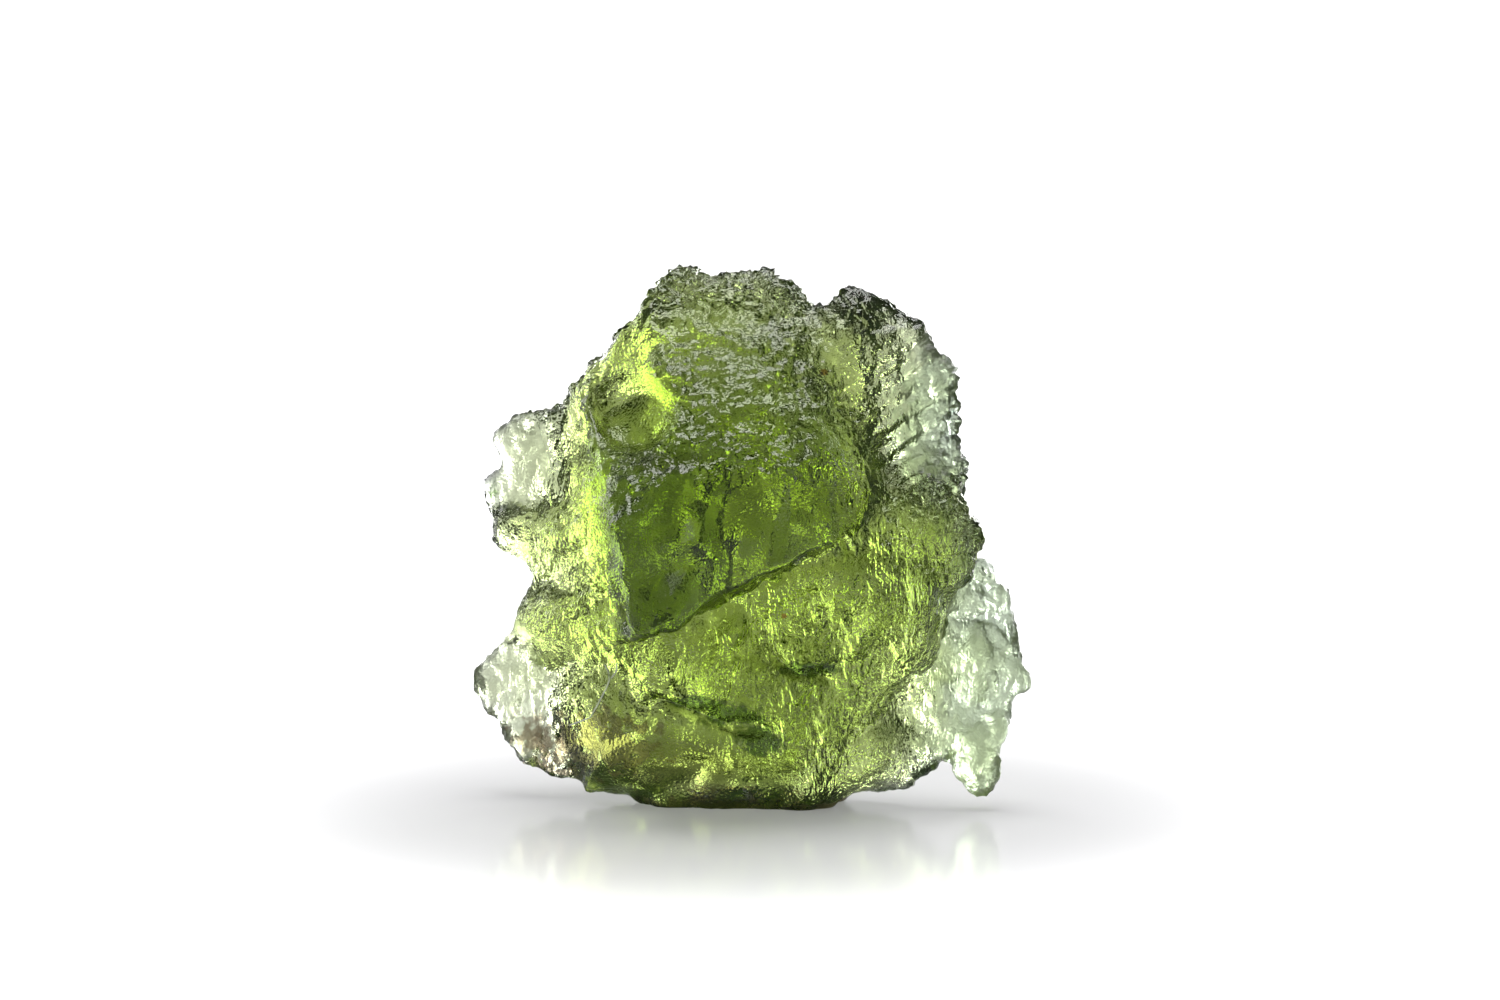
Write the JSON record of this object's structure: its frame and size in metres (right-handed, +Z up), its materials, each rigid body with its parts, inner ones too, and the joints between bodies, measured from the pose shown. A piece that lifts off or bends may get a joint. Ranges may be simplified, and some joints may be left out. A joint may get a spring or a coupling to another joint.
{
  "type": "moldavite",
  "caption": "Small natural lump of see-through green glass with a pitted skin, a block-like front and thin jagged wings, standing on a small flat spot.",
  "frame": {"origin": "bottom centre of the stone's bounding box, in the plane of the flat spot it stands on", "axes": "+Z up; +Y away from the viewer of the picture, so the block-like prow points along -Y; +X to that viewer's right"},
  "size_m": [0.0186, 0.0108, 0.018],
  "materials": {
    "green_glass": "see-through green glass with an etched, pitted skin"
  },
  "bodies": {
    "root": {"moldavite": "green_glass"}
  },
  "joints": []
}
